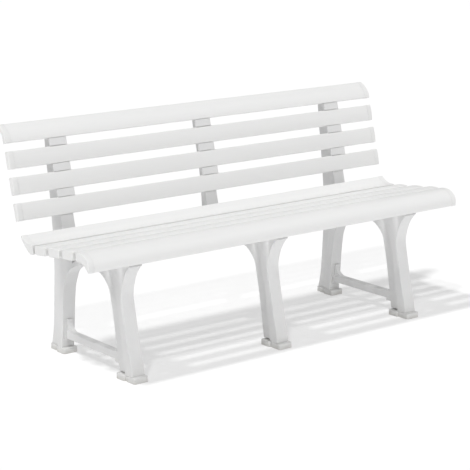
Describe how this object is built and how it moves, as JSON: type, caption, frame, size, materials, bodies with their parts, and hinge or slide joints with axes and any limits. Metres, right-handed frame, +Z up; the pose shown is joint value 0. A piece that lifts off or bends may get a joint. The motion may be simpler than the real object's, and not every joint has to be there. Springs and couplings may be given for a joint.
{
  "type": "garden bench",
  "caption": "Garden bench with a slatted seat and a leaning slatted back on moulded plastic frames, with capped slat ends, low side stretchers and foot pads.",
  "frame": {"origin": "on the floor, under the middle of the bench's overall box", "axes": "+X along the bench to the right as seen from the front, -Y towards the front, +Z up"},
  "size_m": [1.5, 0.4972, 0.7403],
  "materials": {
    "slat_resin": "satin white extruded resin with a faint lengthwise grain",
    "cap_resin": "satin white moulded resin, slightly smoother than the slats",
    "frame_resin": "semi-matt white moulded resin",
    "pad_resin": "matt white moulded resin, soiled near the floor",
    "fastener_steel": "zinc plated steel"
  },
  "bodies": {
    "root": {"front_seat_slat": "slat_resin", "front_seat_slat_cap_left": "cap_resin", "front_seat_slat_cap_right": "cap_resin", "seat_slat_1": "slat_resin", "seat_slat_1_cap_left": "cap_resin", "seat_slat_1_cap_right": "cap_resin", "seat_slat_2": "slat_resin", "seat_slat_2_cap_left": "cap_resin", "seat_slat_2_cap_right": "cap_resin", "seat_slat_3": "slat_resin", "seat_slat_3_cap_left": "cap_resin", "seat_slat_3_cap_right": "cap_resin", "rear_seat_slat": "slat_resin", "rear_seat_slat_cap_left": "cap_resin", "rear_seat_slat_cap_right": "cap_resin", "back_slat_1": "slat_resin", "back_slat_1_cap_left": "cap_resin", "back_slat_1_cap_right": "cap_resin", "back_slat_2": "slat_resin", "back_slat_2_cap_left": "cap_resin", "back_slat_2_cap_right": "cap_resin", "back_slat_3": "slat_resin", "back_slat_3_cap_left": "cap_resin", "back_slat_3_cap_right": "cap_resin", "top_back_slat": "slat_resin", "top_back_slat_cap_left": "cap_resin", "top_back_slat_cap_right": "cap_resin", "left_front_leg": "frame_resin", "left_seat_rail": "frame_resin", "centre_front_leg": "frame_resin", "centre_seat_rail": "frame_resin", "right_front_leg": "frame_resin", "right_seat_rail": "frame_resin", "left_rear_upright": "frame_resin", "left_stretcher": "frame_resin", "right_rear_upright": "frame_resin", "right_stretcher": "frame_resin", "centre_back_post": "frame_resin", "left_front_foot_pad": "pad_resin", "centre_front_foot_pad": "pad_resin", "right_front_foot_pad": "pad_resin", "left_rear_foot_pad": "pad_resin", "right_rear_foot_pad": "pad_resin", "seat_slat_screws": "fastener_steel", "back_slat_screws": "fastener_steel", "frame_screws": "fastener_steel"}
  },
  "joints": []
}
